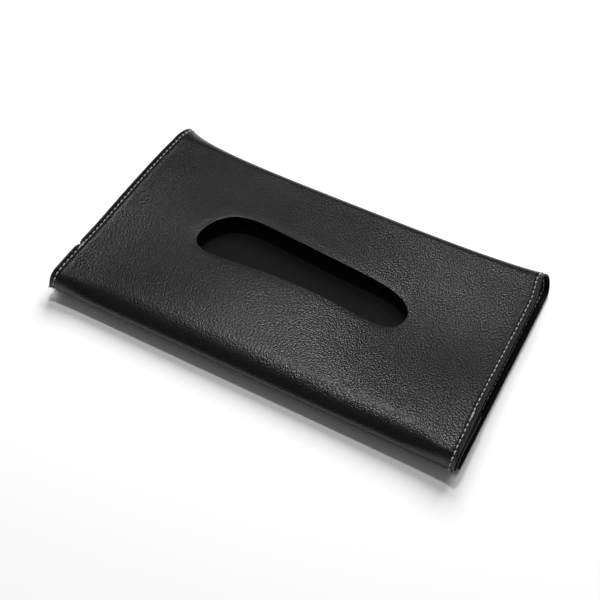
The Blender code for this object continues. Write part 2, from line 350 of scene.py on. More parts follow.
seam = {
    "rowInset": 2.9,            # stitch row, in from the end
    "pitch": 3.3,
    "stitchLength": 2.15,
    "grooveDepth": 0.26,
    "grooveWidth": 0.70,
    "curlUp": 0.95,             # the margin outside the row curls up
    "curlMargin": 0.3,
    "liningCurlShare": 0.7,
    "topStart": 1.35,           # it curls on the top panel and parts of the rolls beside it
    "topStop": 3.35,
    "frontFade": 0.5,
    "rearFade": 0.4,
    "splay": 0.75,              # and its layers end a little behind each other there
    "splayReach": 4,
    "innerPuff": 0.14,          # the leather puffs up inside the row
    "puffPlace": 1.7,
    "pucker": 0.10,
    "puffWidth": 1.1,
    "faceDepth": 0.10,          # how deep the thread lies in the leather
    "tackStart": -37.5,         # the back-tack where the pocket's seam begins
    "tackEnd": -43.5,
    "lastShare": 0.9,           # a row's last stitch has at least this much of a pitch
}


def onTop(along):
    front = smoothStep((along - seam["topStart"]) / seam["frontFade"])
    return front * smoothStep((seam["topStop"] - along) / seam["rearFade"])


def endDistance(share):
    return (1 - np.abs(share)) * halfLength / mm


def curlAt(edge):
    lifted = seam["rowInset"] - seam["curlMargin"]
    return seam["curlUp"] * smoothStep((lifted - edge) / lifted)


def seamHeight(share, along):
    # height in mm of the outer face over the plain sheet
    edge = endDistance(share)
    row = seam["rowInset"]
    height = -seam["grooveDepth"] * bell(edge, row, seam["grooveWidth"])
    height = height + curlAt(edge) * onTop(along)
    height = height + seam["innerPuff"] * bell(edge, row + seam["puffPlace"], seam["puffWidth"])
    phase = 2 * math.pi * endLength(share, along) / mm / seam["pitch"]
    return height - seam["pucker"] * np.cos(phase) * bell(edge, row, seam["puffWidth"])


def undulation(points):
    size = shapeOf("undulationSize")
    stretch = sheetShape["undulationStretch"]
    values = [noise.noise(Vector((p[0], p[1] * stretch, p[2])) / size) for p in points.reshape(-1, 3)]
    return np.array(values).reshape(points.shape[:-1]) * sheetShape["undulation"]


# the slot, seen from above

slotShape = {
    "length": 124.6,
    "centreX": -1.3,
    "frontReach": 16.0,
    "rearReach": 18.8,
    "frontArch": 8.0,
    "rearSkew": 5.3,
    "endTaper": 2.3,
    "roundness": 6.4,
    "lipDroop": 0.14,           # the cut lips hang a little
    "lipReach": 3.0,
    "swellShift": (0.38, 0.70), # how far the swells move the lips, to keep the slot's place in view
    "ringMargin": 11.0,         # how far the mesh round the slot reaches
    "rings": 12,
    "ringGrowth": 1.35,
    "points": 1440,
}


def slotOutline(count, margin=0.0):
    reach = slotShape["length"] / 2 + margin
    middle = (slotShape["rearReach"] - slotShape["frontReach"]) / 2
    halfWidth = (slotShape["rearReach"] + slotShape["frontReach"]) / 2 + margin
    angle = np.linspace(0, 2 * math.pi, count, endpoint=False)
    along = np.sign(np.cos(angle)) * np.sqrt(np.abs(np.cos(angle)))
    roundOff = np.sqrt(np.maximum(0, 1 - np.abs(along) ** slotShape["roundness"]))
    rear = middle + (halfWidth - slotShape["rearSkew"] * along) * roundOff
    front = middle - (halfWidth - slotShape["frontArch"] * (1 - along ** 2)) * roundOff
    y = np.where(np.sin(angle) >= 0, rear, front)
    taper = slotShape["endTaper"] * (y - middle) / halfWidth
    x = slotShape["centreX"] + (reach - taper) * along
    swell = swellAt(x * mm, y * mm)
    shiftX, shiftY = slotShape["swellShift"]
    return np.stack([x * mm + shiftX * swell, y * mm - shiftY * swell], -1)


def onPanel(flat):
    # share and along of a place on the top panel, given from above
    x, y = flat[..., 0], flat[..., 1]
    share = x / (halfLength - panelLean(np.sign(x), y))
    frontY = sheetPoint(share, np.full_like(share, 2.0))[..., 1]
    rearY = sheetPoint(share, np.full_like(share, 3.0))[..., 1]
    return share, 2 + (y - frontY) / (rearY - frontY)


def closedRun(points):
    # a closed outline, and the share of its length up to each point
    closed = np.vstack([points, points[:1]])
    run = runOf(closed)
    return closed, run / run[-1]


# a sheet's plan: places on the surface and the faces between them

farAway = 1e3                   # in metres, for places that aren't beside the slot


def gridBorder(index, i0, i1, j0, j1):
    # the grid's places round the cells that are left out, from the middle of their right side
    middle = (j0 + j1) // 2
    border = [index[i1, j] for j in range(middle, j1)]
    border += [index[i, j1] for i in range(i1, i0, -1)]
    border += [index[i0, j] for j in range(j1, j0, -1)]
    border += [index[i, j0] for i in range(i0, i1)]
    border += [index[i1, j] for j in range(j0, middle)]
    return np.array(border)


def slotRings(outline, outer):
    # places on rings from the slot's outline to a border, and how far each is from the slot
    closed, run = closedRun(outline)
    outerRun = closedRun(outer)[1]
    inner = np.stack([np.interp(outerRun[:-1], run, closed[:, k]) for k in (0, 1)], -1)
    step = np.linspace(0, 1, slotShape["rings"] + 1)[:-1] ** slotShape["ringGrowth"]
    gap = np.linalg.norm(outer - inner, axis=1)
    return between(inner[None], outer[None], step[:, None, None]), step[:, None] * gap[None]


def sheetPlan(shares, alongs, withSlot=False, slotMargin=0.0):
    rows, columns = len(shares), len(alongs)
    share = np.repeat(shares, columns)
    along = np.tile(alongs, rows)
    index = np.arange(rows * columns).reshape(rows, columns)
    keep = np.ones((rows - 1, columns - 1), bool)
    faces = []
    fromSlot = np.full(rows * columns, farAway)
    if withSlot:
        # the grid's cells round the slot give way to rings from its outline to their border
        outline = slotOutline(slotShape["points"], slotMargin)
        margin = slotShape["ringMargin"] * mm
        lowShare, lowAlong = onPanel(outline.min(0) - margin)
        highShare, highAlong = onPanel(outline.max(0) + margin)
        i0, i1 = np.searchsorted(shares, lowShare), np.searchsorted(shares, highShare)
        j0, j1 = np.searchsorted(alongs, lowAlong), np.searchsorted(alongs, highAlong)
        keep[i0:i1, j0:j1] = False
        border = gridBorder(index, i0, i1, j0, j1)
        ringPlaces, ringGaps = slotRings(outline, sheetPoint(share[border], along[border])[:, :2])
        ringShare, ringAlong = onPanel(ringPlaces)
        ringIndex = len(share) + np.arange(ringShare.size).reshape(ringShare.shape)
        ringIndex = np.vstack([ringIndex, border])
        share = np.concatenate([share, ringShare.ravel()])
        along = np.concatenate([along, ringAlong.ravel()])
        fromSlot = np.concatenate([fromSlot, ringGaps.ravel()])
        for inside, outside in zip(ringIndex[:-1], ringIndex[1:]):
            for k in range(len(border)):
                after = (k + 1) % len(border)
                faces.append((inside[k], outside[k], outside[after], inside[after]))
    for i, j in zip(*np.nonzero(keep)):
        faces.append((index[i, j], index[i + 1, j], index[i + 1, j + 1], index[i, j + 1]))
    used = np.zeros(len(share), bool)
    used[np.unique(np.array(faces))] = True
    renumber = np.cumsum(used) - 1
    faces = renumber[np.array(faces)]
    return {"share": share[used], "along": along[used], "faces": faces, "fromSlot": fromSlot[used]}


rim = {"bulge": 0.35, "profile": ((0.18, 0.72), (0.5, 1.0), (0.82, 0.72))}     # place and roundness


def borderEdges(faces):
    edges = {}
    for a, b, c, d in faces.tolist():
        for edge in ((a, b), (b, c), (c, d), (d, a)):
            edges[edge] = True
    return [edge for edge in edges if (edge[1], edge[0]) not in edges]


def outwardAt(rimVertices, border, base, normal):
    # which way the sheet ends at each place on its border
    tiny = 1e-12
    outward = np.zeros_like(base)
    for a, b in border:
        push = np.cross(base[b] - base[a], normal[a])
        push /= np.linalg.norm(push) + tiny
        outward[a] += push
        outward[b] += push
    out = outward[rimVertices]
    return out / (np.linalg.norm(out, axis=1, keepdims=True) + tiny)


def thickSheet(name, plan, topDepth, bottomDepth, material, height, bottomHeight=None, shorten=None):
    # a closed sheet between two depths, with a rounded cut edge all round
    share, along, faces = plan["share"], plan["along"], plan["faces"]
    base = sheetPoint(share, along)
    normal = sheetNormal(share, along)
    bottomHeight = height if bottomHeight is None else bottomHeight
    top = base + normal * (height[:, None] - topDepth * mm)
    bottom = base + normal * (bottomHeight[:, None] - bottomDepth * mm)
    if shorten is not None:
        top[:, 0] -= shorten
        bottom[:, 0] -= shorten
    border = borderEdges(faces)
    rimVertices = sorted({v for edge in border for v in edge})
    place = {v: k for k, v in enumerate(rimVertices)}
    out = outwardAt(rimVertices, border, base, normal)
    out[np.abs(along[rimVertices] - creaseAlong) < 1e-6] = 0    # sleeve and flap meet flush here
    thickness = (bottomDepth - topDepth) * mm
    count, rimCount = len(base), len(rimVertices)
    layers = []
    for part, bulge in rim["profile"]:
        layers.append(between(top[rimVertices], bottom[rimVertices], part)
                      + out * bulge * rim["bulge"] * thickness)
    vertices = np.vstack([top, bottom] + layers)
    allFaces = [tuple(f) for f in faces.tolist()]
    allFaces += [(d + count, c + count, b + count, a + count) for a, b, c, d in faces.tolist()]
    for a, b in border:
        chainA, chainB = ([v] + [2 * count + r * rimCount + place[v] for r in range(len(layers))]
                          + [v + count] for v in (a, b))
        for k in range(len(layers) + 1):
            allFaces.append((chainA[k], chainA[k + 1], chainB[k + 1], chainB[k]))
    flat = np.stack([share * halfLength, flatLength(along)], -1)
    inside = flat + [1.0, 0]        # a metre beside it, so that the grain of the two sides differs
    uvs = np.vstack([flat, inside] + [flat[rimVertices]] * len(layers))
    return addObject(name, vertices, allFaces, material, uvs)


# materials

def newMaterial(name):
    material = bpy.data.materials.new(name)
    material.use_nodes = True
    return material, material.node_tree, material.node_tree.nodes["Principled BSDF"]


def link(tree, source, target):
    tree.links.new(source, target)


def flatPlace(tree):
    # the sheet's own flat coordinates, in millimetres
    place = tree.nodes.new("ShaderNodeUVMap")
    place.uv_map = "flat"
    mapping = tree.nodes.new("ShaderNodeMapping")
    mapping.inputs["Scale"].default_value = (1000, 1000, 1000)
    link(tree, place.outputs["UV"], mapping.inputs["Vector"])
    return mapping.outputs["Vector"]


def mapRange(tree, value, low, high, newLow, newHigh):
    node = tree.nodes.new("ShaderNodeMapRange")
    node.inputs["From Min"].default_value = low
    node.inputs["From Max"].default_value = high
    node.inputs["To Min"].default_value = newLow
    node.inputs["To Max"].default_value = newHigh
    link(tree, value, node.inputs["Value"])
    return node.outputs["Result"]


def mathNode(tree, operation, first, second):
    node = tree.nodes.new("ShaderNodeMath")
    node.operation = operation
    for socket, value in zip(node.inputs, (first, second)):
        if isinstance(value, (int, float)):
            socket.default_value = value
        else:
            link(tree, value, socket)
    return node.outputs["Value"]


def noiseNode(tree, place, scale, detail=2.0, roughness=0.5):
    node = tree.nodes.new("ShaderNodeTexNoise")
    node.inputs["Scale"].default_value = scale
    node.inputs["Detail"].default_value = detail
    node.inputs["Roughness"].default_value = roughness
    link(tree, place, node.inputs["Vector"])
    return node.outputs["Fac"]


def addBump(tree, shader, height, depth, strength=1.0):
    bump = tree.nodes.new("ShaderNodeBump")
    bump.inputs["Strength"].default_value = strength
    bump.inputs["Distance"].default_value = depth * mm
    link(tree, height, bump.inputs["Height"])
    link(tree, bump.outputs["Normal"], shader.inputs["Normal"])


def mixColour(tree, factor, first, second):
    node = tree.nodes.new("ShaderNodeMix")
    node.data_type = "RGBA"
    node.inputs["A"].default_value = (*first, 1)
    node.inputs["B"].default_value = (*second, 1)
    link(tree, factor, node.inputs["Factor"])
    return node.outputs["Result"]


leatherFinish = {
    # the valley colour is painted shade: the hollows between pebbles are painted darker than their tops
    "shadedValley": (0.003, 0.003, 0.003),
    "pebble": (0.011, 0.011, 0.011),
    "pebbleSize": 1.10,
    "pebbleEdge": 0.7,          # how far from a pebble's middle its valley lies, in pebbles
    "pebbleDepth": 0.083,
    "creaseSize": 0.96,
    "creaseDetail": 1.0,
    "creaseDepth": 0.092,
    "roughTop": 0.28,
    "roughValley": 0.34,
    "broadScale": 0.09,         # a slow change of the sheen over the panel
    "broadRange": (0.3, 0.7),   # where most of its noise lies
    "broadRough": 0.02,
    "specular": 0.55,
}


def makeLeather():
    finish = leatherFinish
    material, tree, shader = newMaterial("pebbledLeather")
    place = flatPlace(tree)
    cells = tree.nodes.new("ShaderNodeTexVoronoi")
    cells.feature = "F1"
    cells.voronoi_dimensions = "2D"
    cells.inputs["Scale"].default_value = 1 / finish["pebbleSize"]
    cells.inputs["Randomness"].default_value = 1.0
    link(tree, place, cells.inputs["Vector"])
    pebble = mapRange(tree, cells.outputs["Distance"], 0.0, finish["pebbleEdge"], 1.0, 0.0)
    broad = noiseNode(tree, place, finish["broadScale"])
    crease = noiseNode(tree, place, 1 / finish["creaseSize"], finish["creaseDetail"])
    # painted shade: the base colour darkens from each pebble's middle to the valley round it
    link(tree, mixColour(tree, pebble, finish["shadedValley"], finish["pebble"]), shader.inputs["Base Color"])
    rough = mapRange(tree, pebble, 0.0, 1.0, finish["roughValley"], finish["roughTop"])
    drift = mapRange(tree, broad, *finish["broadRange"], -finish["broadRough"], finish["broadRough"])
    link(tree, mathNode(tree, "ADD", rough, drift), shader.inputs["Roughness"])
    shader.inputs["Specular IOR Level"].default_value = finish["specular"]
    grain = mathNode(tree, "ADD", mathNode(tree, "MULTIPLY", pebble, finish["pebbleDepth"]),
                     mathNode(tree, "MULTIPLY", crease, finish["creaseDepth"]))
    addBump(tree, shader, grain, 1.0)
    return material


liningFinish = {
    "low": (0.006, 0.006, 0.006),
    "high": (0.021, 0.021, 0.021),
    "nap": (3.2, 4.0, 0.7),     # noise: its scale, detail and roughness
    "napShare": 0.7,
    "napDepth": 0.25,
    "napStrength": 0.9,
    "drift": (0.25, 3.0),
    "driftShare": 0.4,
    "rough": 0.95,
    "specular": 0.12,
}


def makeLining():
    finish = liningFinish
    material, tree, shader = newMaterial("nappedLining")
    place = flatPlace(tree)
    nap = noiseNode(tree, place, *finish["nap"])
    drift = noiseNode(tree, place, *finish["drift"])
    tone = mathNode(tree, "ADD", mathNode(tree, "MULTIPLY", nap, finish["napShare"]),
                    mathNode(tree, "MULTIPLY", drift, finish["driftShare"]))
    link(tree, mixColour(tree, tone, finish["low"], finish["high"]), shader.inputs["Base Color"])
    shader.inputs["Roughness"].default_value = finish["rough"]
    shader.inputs["Specular IOR Level"].default_value = finish["specular"]
    addBump(tree, shader, nap, finish["napDepth"], finish["napStrength"])
    return material


threadFinish = {
    "whiteThread": ((0.80, 0.80, 0.79), (0.92, 0.92, 0.91)),
    "blackThread": ((0.004, 0.004, 0.004), (0.018, 0.018, 0.018)),
    "fibreScale": 4200,         # to a metre
    "rough": 0.7,
    "sheen": 0.2,
    "depth": 0.05,
    "strength": 0.5,
}


def makeThread(name):
    material, tree, shader = newMaterial(name)
    place = tree.nodes.new("ShaderNodeTexCoord").outputs["Object"]
    fibre = noiseNode(tree, place, threadFinish["fibreScale"])
    link(tree, mixColour(tree, fibre, *threadFinish[name]), shader.inputs["Base Color"])
    shader.inputs["Roughness"].default_value = threadFinish["rough"]
    shader.inputs["Sheen Weight"].default_value = threadFinish["sheen"]
    addBump(tree, shader, fibre, threadFinish["depth"], threadFinish["strength"])
    return material


leather = makeLeather()
lining = makeLining()
thread = makeThread("whiteThread")
darkThread = makeThread("blackThread")


# places along the holder and round the section: close together at the sewn ends
endPlaces = (0, 0.25, 0.55, 0.9, 1.3, 1.7, 2.1, 2.5, 2.8, 3.1, 3.4, 3.7, 4.0, 4.4, 4.9, 5.5, 6.3, 7.4,
             8.8, 10.5, 12.5, 15.0, 18.0, 21.0)


def endSpaced(middleStep):
    half = halfLength / mm
    right = [half - place for place in endPlaces]
    middle = np.linspace(-right[-1], right[-1], 1 + int(round(2 * right[-1] / middleStep)))
    places = sorted([-place for place in right] + list(middle[1:-1]) + right)
    return np.unique(np.round(np.array(places) / half, 6))


def roundSpaced(start, stop, step):
    count = max(2, int(round((flatLength(stop) - flatLength(start)) / mm / step)))
    lengths = np.linspace(flatLength(start), flatLength(stop), count + 1)
    alongs = np.array([alongAt(v) for v in lengths])
    alongs[0], alongs[-1] = start, stop
    return alongs


# the leather and lining of the sleeve, from the front flap round to the rear crease

sheetBuild = {
    "leatherStep": seam["pitch"] / 5,
    "liningStep": 1.4,
    "leatherSpacing": 2.0,      # along the holder, away from its ends
    "liningSpacing": 3.0,
    "flapSpacing": 4.0,
    "leather": (0.0, 0.8),      # depths under the outer face
    "lining": (0.84, 1.6),
    "slotLiningSetback": 0.4,
    "calmReach": 0.1,           # the panel is even beside the rolls, as a share of its depth
}


def lipDroop(plan):
    reach = slotShape["lipReach"] * mm
    return -slotShape["lipDroop"] * mm * np.exp(-(plan["fromSlot"] / reach) ** 2)


def unevenness(plan):
    # on the top panel alone, which lies between 2 and 3 round the section
    points = sheetPoint(plan["share"], plan["along"])
    away = np.abs(plan["along"] - 2.5)
    calm = smoothStep((away < 0.5) * (0.5 - away) / sheetBuild["calmReach"])
    return undulation(points) * mm * calm


def leatherHeight(plan):
    height = seamHeight(plan["share"], plan["along"]) * mm + lipDroop(plan)
    return height + unevenness(plan)


def liningHeight(plan):
    curl = curlAt(endDistance(plan["share"])) * seam["liningCurlShare"] * mm * onTop(plan["along"])
    return lipDroop(plan) + unevenness(plan) + curl


def leatherShortening(plan):
    edge = endDistance(plan["share"])
    back = seam["splay"] * mm * smoothStep(1 - edge / seam["splayReach"])
    return np.sign(plan["share"]) * back * onTop(plan["along"])


def levelHeight(plan):
    return np.zeros(len(plan["share"]))


print("making the sleeve")
plan = sheetPlan(endSpaced(sheetBuild["leatherSpacing"]),
                 roundSpaced(0, creaseAlong, sheetBuild["leatherStep"]), withSlot=True)
sleeveLeather = thickSheet("sleeveLeather", plan, *sheetBuild["leather"], leather, leatherHeight(plan),
                           liningHeight(plan), shorten=leatherShortening(plan))
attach(sleeveLeather, "sleeve")
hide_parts("sleeve_leather")

plan = sheetPlan(endSpaced(sheetBuild["liningSpacing"]),
                 roundSpaced(0, creaseAlong, sheetBuild["liningStep"]), withSlot=True,
                 slotMargin=sheetBuild["slotLiningSetback"])
sleeveLining = thickSheet("sleeveLining", plan, *sheetBuild["lining"], lining, liningHeight(plan))
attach(sleeveLining, "sleeve")
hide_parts("sleeve_lining")


# the rear flap, from its crease to its edge

print("making the rear flap")
flapShares = endSpaced(sheetBuild["flapSpacing"])
plan = sheetPlan(flapShares, roundSpaced(creaseAlong, 5, sheetBuild["leatherStep"]))
flapLeather = thickSheet("flapLeather", plan, *sheetBuild["leather"], leather,
                         seamHeight(plan["share"], plan["along"]) * mm, levelHeight(plan))
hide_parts("rear_flap_leather")
plan = sheetPlan(flapShares, roundSpaced(creaseAlong, 5, sheetBuild["liningStep"]))
flapLining = thickSheet("flapLining", plan, *sheetBuild["lining"], lining, levelHeight(plan))
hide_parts("rear_flap_lining")

for piece in (flapLeather, flapLining):
    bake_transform(piece)


# stitches: short pieces of two-ply thread, sunk into the seam at both ends

stitchShape = {
    "rings": 13,
    "sides": 6,
    "plyRadius": 0.23,
    "plyOffset": 0.18,
    "twists": 2.1,
    "crown": 0.36,              # height of the middle over the face
    "sink": 0.14,               # depth of the ends under it
    "endRadius": 0.55,          # share of the radius in the holes, and what the arch adds
    "archRadius": 0.45,
    "archPower": 0.5,
    "wander": 0.05,
}
tack = {"rise": 0.10, "inset": 0.25, "pitch": 2.1, "fat": 1.35}
smallStitch = {"length": 2.0, "pitch": 2.6, "fat": 0.55, "crown": 0.4}


def stitchMesh(start, end, normal, fat=1.0, crown=1.0):
    # one stitch between two holes, as vertices and faces
    rings, sides = stitchShape["rings"], stitchShape["sides"]
    tangent = end - start
    side = np.cross(normal, tangent)
    side /= np.linalg.norm(side)
    vertices, faces = [], []
    for ply in (0, 1):
        first = len(vertices)
        for r in range(rings):
            t = r / (rings - 1)
            arch = math.sin(math.pi * t) ** stitchShape["archPower"]
            lift = (stitchShape["crown"] * crown + stitchShape["sink"]) * arch - stitchShape["sink"]
            centre = start + tangent * t + normal * lift * mm
            twist = 2 * math.pi * (stitchShape["twists"] * t + ply / 2)
            out = side * math.cos(twist) + normal * math.sin(twist)
            centre = centre + out * stitchShape["plyOffset"] * fat * mm
            thickness = stitchShape["endRadius"] + stitchShape["archRadius"] * arch
            radius = stitchShape["plyRadius"] * fat * mm * thickness
            for s in range(sides):
                angle = 2 * math.pi * s / sides
                vertices.append(centre + (side * math.cos(angle) + normal * math.sin(angle)) * radius)
        for r in range(rings - 1):
            for s in range(sides):
                a, b = first + r * sides + s, first + r * sides + (s + 1) % sides
                faces.append((a, b, b + sides, a + sides))
        faces.append(tuple(first + s for s in range(sides))[::-1])
        faces.append(tuple(first + (rings - 1) * sides + s for s in range(sides)))
    return vertices, faces


def stitchRow(sign, startAlong, stopAlong, depth, facing, inset=seam["rowInset"], pitch=seam["pitch"],
              fat=1.0):
    # a row along one end; facing is 1 on the leather's face and -1 on the lining's
    share = sign * (1 - inset * mm / halfLength)
    start, stop = endLength(share, startAlong) / mm, endLength(share, stopAlong) / mm
    first = math.ceil(start / pitch) * pitch
    gap = (pitch - min(seam["stitchLength"], pitch)) / 2
    vertices, faces = [], []
    for place in np.arange(first, stop - pitch * seam["lastShare"], pitch):
        wander = random.normal(0, stitchShape["wander"], 2)
        run = np.array([place + gap, place + pitch / 2, place + pitch - gap]) * mm
        along = np.interp(run, endTables[sign], alongTable)
        here = np.full(3, share)
        base = sheetPoint(here, along)
        normal = sheetNormal(here, along) * facing
        points = base + normal * (-facing * depth) * mm
        points[:, 0] += wander[0] * mm
        vertexList, faceList = stitchMesh(points[0], points[2], normal[1], fat)
        faces += [tuple(v + len(vertices) for v in f) for f in faceList]
        vertices += vertexList
    return vertices, faces


def straightRow(start, end, normal):
    # a row of small machine stitches between two places on a flat face
    start, end, normal = (np.array(v, float) for v in (start, end, normal))
    length = np.linalg.norm(end - start)
    count = max(1, int(round(length / mm / smallStitch["pitch"])))
    vertices, faces = [], []
    for k in range(count):
        middle = start + (end - start) * (k + 0.5) / count
        half = (end - start) / length * smallStitch["length"] * mm / 2
        vertexList, faceList = stitchMesh(middle - half, middle + half, normal,
                                          smallStitch["fat"], smallStitch["crown"])
        faces += [tuple(v + len(vertices) for v in f) for f in faceList]
        vertices += vertexList
    return vertices, faces


def joinRows(name, rows, material):
    vertices, faces = [], []
    for rowVertices, rowFaces in rows:
        faces += [tuple(v + len(vertices) for v in f) for f in rowFaces]
        vertices += rowVertices
    return addObject(name, vertices, faces, material)


print("sewing the ends")
panelFront, panelRear = sheetPoint(1, 2)[1], sheetPoint(1, 3)[1]
tackAlong, tackStopAlong = (2 + (seam[key] * mm - panelFront) / (panelRear - panelFront)
                            for key in ("tackStart", "tackEnd"))
faceDepth, backDepth = seam["faceDepth"], sheetBuild["lining"][1]
for side, sign in (("Left", -1), ("Right", 1)):
    rows = [stitchRow(sign, 0, creaseAlong, faceDepth, 1),
            stitchRow(sign, tackAlong, creaseAlong, backDepth, -1),
            stitchRow(sign, tackStopAlong, tackAlong, -tack["rise"], 1,
                      inset=seam["rowInset"] - tack["inset"], pitch=tack["pitch"], fat=tack["fat"])]
    stitches = joinRows("endStitches" + side, rows, thread)
    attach(stitches, "sleeve")
    rows = [stitchRow(sign, creaseAlong, 5, faceDepth, 1), stitchRow(sign, creaseAlong, 5, backDepth, -1)]
    stitches = joinRows("flapStitches" + side, rows, thread)
    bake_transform(stitches)


# fuzz where the flap's lining is cut

fuzzShape = {
    "count": 520,
    "length": (0.35, 1.1),
    "radius": 0.06,
    "taper": (1.0, 0.8, 0.25),
    "angles": (0, 2.094, 4.189),    # a hair has three sides
    "spread": 0.55,
    "lift": 0.35,
    "bend": 0.1,
    "margin": 0.01,             # no fuzz this close to the crease and the flap's edge, in section steps
    "normalShare": 0.999,       # the sheet's normal is taken just inside its end
}


def fuzzMesh(sign):
    vertices, faces = [], []
    margin = fuzzShape["margin"]
    for along in random.uniform(creaseAlong + margin, 5 - margin, fuzzShape["count"]):
        depth = random.uniform(*sheetBuild["lining"])
        normal = sheetNormal(sign * fuzzShape["normalShare"], along)
        root = sheetPoint(sign, along) - normal * depth * mm
        aim = np.array([sign, random.normal(0, fuzzShape["spread"]),
                        abs(random.normal(0, fuzzShape["lift"]))])
        length = random.uniform(*fuzzShape["length"]) * mm
        tip = root + aim / np.linalg.norm(aim) * length
        bend = [0, random.normal(0, fuzzShape["bend"]), random.normal(0, fuzzShape["bend"])]
        knee = (root + tip) / 2 + np.array(bend) * mm
        first = len(vertices)
        for centre, radius in zip((root, knee, tip), fuzzShape["taper"]):
            for angle in fuzzShape["angles"]:
                out = np.array([0, math.cos(angle), math.sin(angle)])
                vertices.append(centre + out * radius * fuzzShape["radius"] * mm)
        for ring in (0, 3):
            for k in range(3):
                a, b = first + ring + k, first + ring + (k + 1) % 3
                faces.append((a, b, b + 3, a + 3))
        faces += [(first, first + 2, first + 1), (first + 6, first + 7, first + 8)]
    return vertices, faces


for side, sign in (("Left", -1), ("Right", 1)):
    fuzz = addObject("edgeFuzz" + side, *fuzzMesh(sign), lining)
    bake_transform(fuzz)


# elastic visor bands, each in two halves that stay sewn on at their ends

bandFinish = {
    "rib": 1.7,                 # ribs run along the band, and picks of weft across it
    "pick": 0.75,
    "pickLow": 0.45,
    "weaveScale": 4.0,
    "weaveShare": 0.25,
    "waver": 0.3,
    "dark": (0.004, 0.004, 0.004),
    "light": (0.030, 0.030, 0.031),
    "depth": 0.35,
    "rough": 0.7,
}


def makeElastic():
    finish = bandFinish
    material, tree, shader = newMaterial("ribbedElastic")
    place = flatPlace(tree)
    waves = []
    for direction, pitch in (("X", finish["rib"]), ("Y", finish["pick"])):
        wave = tree.nodes.new("ShaderNodeTexWave")
        wave.wave_type = "BANDS"
        wave.bands_direction = direction
        wave.inputs["Scale"].default_value = math.pi / 10 / pitch   # one wave to a pitch
        wave.inputs["Distortion"].default_value = finish["waver"]
        link(tree, place, wave.inputs["Vector"])
        waves.append(wave.outputs["Fac"])
    weave = noiseNode(tree, place, finish["weaveScale"])
    tone = mathNode(tree, "MULTIPLY", waves[0], mapRange(tree, waves[1], 0.0, 1.0, finish["pickLow"], 1.0))
    tone = mathNode(tree, "ADD", mathNode(tree, "MULTIPLY", tone, 1 - finish["weaveShare"]),
                    mathNode(tree, "MULTIPLY", weave, finish["weaveShare"]))
    link(tree, mixColour(tree, tone, finish["dark"], finish["light"]), shader.inputs["Base Color"])
    shader.inputs["Roughness"].default_value = finish["rough"]
    addBump(tree, shader, tone, finish["depth"])
    return material


tapeFinish = {
    "dark": (0.006, 0.006, 0.006),
    "light": (0.020, 0.020, 0.021),
    "unevenness": 0.35,
    "cell": (0.1, 0.6),         # a hook's light middle ends here, and the dark between them starts
    "rough": 0.8,
    "hookTape": (1.6, 0.35),    # hooks or loops in a millimetre, and their depth
    "loopTape": (2.6, 0.30),
}


def makeTape(name):
    finish = tapeFinish
    density, depth = finish[name]
    material, tree, shader = newMaterial(name)
    cells = tree.nodes.new("ShaderNodeTexVoronoi")
    cells.inputs["Scale"].default_value = density
    cells.inputs["Randomness"].default_value = finish["unevenness"]
    link(tree, flatPlace(tree), cells.inputs["Vector"])
    tone = mapRange(tree, cells.outputs["Distance"], *finish["cell"], 1.0, 0.0)
    link(tree, mixColour(tree, tone, finish["dark"], finish["light"]), shader.inputs["Base Color"])
    shader.inputs["Roughness"].default_value = finish["rough"]
    addBump(tree, shader, tone, depth)
    return material


elastic = makeElastic()
hookTape = makeTape("hookTape")
loopTape = makeTape("loopTape")

stripShape = {"step": 1.0, "edgeShare": 0.25, "edgeReach": 0.8}
bandSewing = {"box": 11.0, "margin": 2.0, "endMargin": 1.2, "pressed": 0.38, "pressReach": 2}
bandShape = {"proud": 0.25, "bendStart": 4, "bendEnd": 26}  # places from a loop's end
tapeSewing = {"margin": 1.5}


def stripMesh(name, low, high, material, sewnEnd=0):
    # a flat strip with rounded edges, fine enough to bend. sewnEnd is -1 or 1 on a band's half
    # that is sewn on at its -y or +y end and goes on straight at the other
    step = stripShape["step"]
    nx = max(4, int(round((high[0] - low[0]) / mm / step)))
    ny = max(4, int(round((high[1] - low[1]) / mm / step)))
    xs, ys = np.linspace(low[0], high[0], nx + 1), np.linspace(low[1], high[1], ny + 1)
    grid = np.stack(np.meshgrid(xs, ys, indexing="ij"), -1).reshape(-1, 2)
    gaps = [grid[:, 0] - low[0], high[0] - grid[:, 0]]
    fromLow, fromHigh = grid[:, 1] - low[1], high[1] - grid[:, 1]
    gaps += [fromLow] * (sewnEnd <= 0) + [fromHigh] * (sewnEnd >= 0)
    inward = np.minimum.reduce(gaps)
    thick = high[2] - low[2]
    pinch = stripShape["edgeShare"] * thick * (1 - smoothStep(inward / (stripShape["edgeReach"] * mm)))
    pressed = np.zeros(len(grid))
    if sewnEnd:
        fromEnd = fromLow if sewnEnd < 0 else fromHigh
        reach = bandSewing["pressReach"] * mm
        pressed = bandSewing["pressed"] * mm * smoothStep((bandSewing["box"] * mm + reach - fromEnd) / reach)
    top = np.column_stack([grid, high[2] - pinch])
    bottom = np.column_stack([grid, low[2] + pinch + pressed])
    count = len(grid)
    index = np.arange(count).reshape(nx + 1, ny + 1)
    faces = []
    for i in range(nx):
        for j in range(ny):
            a, b, c, d = index[i, j], index[i + 1, j], index[i + 1, j + 1], index[i, j + 1]
            faces.append((a, b, c, d))
            faces.append((d + count, c + count, b + count, a + count))
    border = list(index[:, 0]) + list(index[-1, 1:]) + list(index[-2::-1, -1]) + list(index[0, -2:0:-1])
    for a, b in zip(border, border[1:] + border[:1]):
        faces.append((b, a, a + count, b + count))
    faces = [tuple(int(v) for v in f) for f in faces]
    return addObject(name, np.vstack([top, bottom]), faces, material, np.vstack([grid, grid]))


